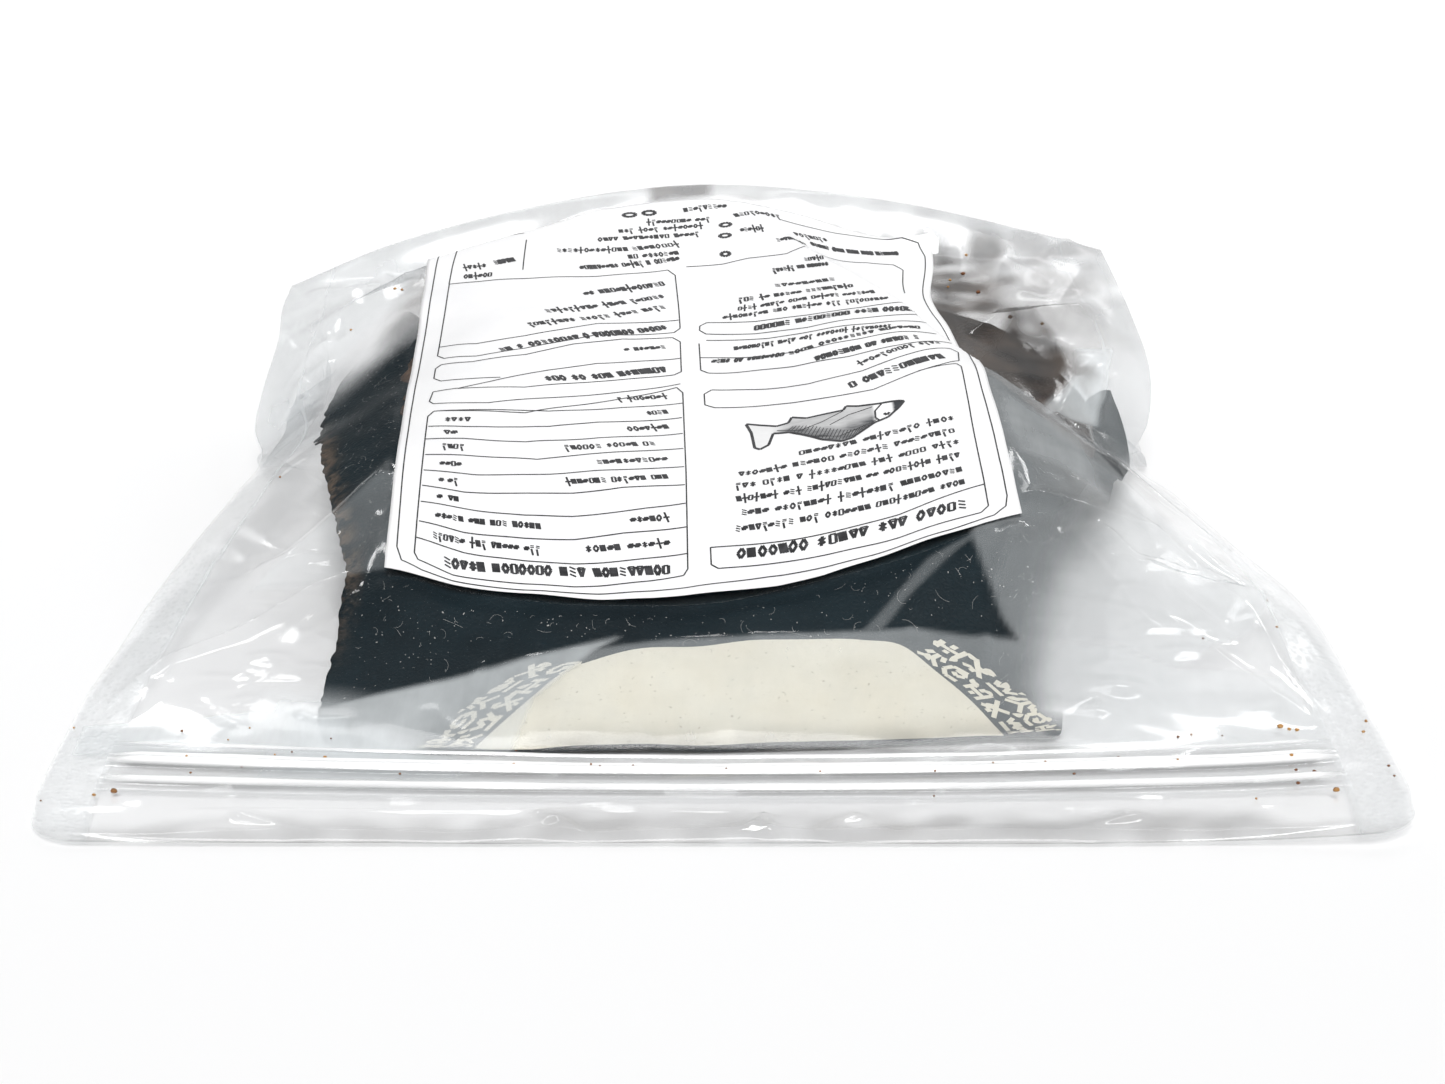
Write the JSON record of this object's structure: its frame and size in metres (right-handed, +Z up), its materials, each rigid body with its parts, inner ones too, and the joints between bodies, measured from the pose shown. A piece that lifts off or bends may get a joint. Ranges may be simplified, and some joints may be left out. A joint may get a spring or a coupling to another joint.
{
  "type": "bag of dried catfish",
  "caption": "Clear zip pouch of dried catfish lying on its back, with a dark printed card inside and a large white paper label stuck on its upper film.",
  "frame": {"origin": "on the surface the pouch lies on, under the middle of its outline", "axes": "+X to the right for someone who faces the zip mouth; +Y from the zip mouth to the gusseted bottom seal; +Z up, out of the labelled film"},
  "size_m": [0.2912, 0.3, 0.0606],
  "materials": {
    "film": "clear glossy film with soft haze",
    "label_paper": "white matt paper with black print",
    "fish_skin": "dark brown dried skin with a soft sheen",
    "zip_plastic": "clear ribbed zip"
  },
  "bodies": {
    "root": {"bag": "film", "catfish": "fish_skin", "label": "label_paper", "zip_profile": "zip_plastic"}
  },
  "joints": []
}
